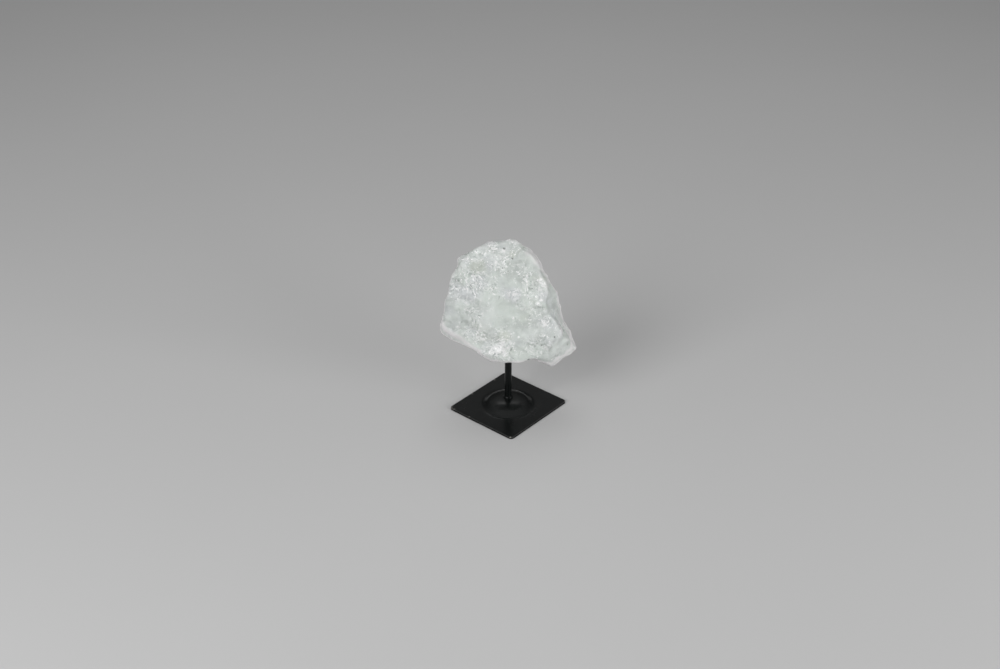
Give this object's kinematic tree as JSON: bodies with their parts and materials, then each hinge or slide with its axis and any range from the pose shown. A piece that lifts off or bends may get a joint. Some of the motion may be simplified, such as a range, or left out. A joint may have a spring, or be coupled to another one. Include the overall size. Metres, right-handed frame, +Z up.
{
  "type": "quartz crystal on stand",
  "caption": "Rough chunk of milky quartz held on a short black steel rod above a thin rectangular plate pressed up into a round dome.",
  "frame": {"origin": "middle of the object's outline seen from above, on the surface that the plate rests on", "axes": "+Z up along the rod, -Y towards the viewer of the broad front face, +X to that viewer's right"},
  "size_m": [0.125, 0.1074, 0.1706],
  "materials": {
    "milky_quartz": "satin",
    "black_paint": "satin"
  },
  "bodies": {
    "root": {"base_plate": "black_paint", "stand_rod": "black_paint", "quartz_crystal": "milky_quartz"}
  },
  "joints": []
}
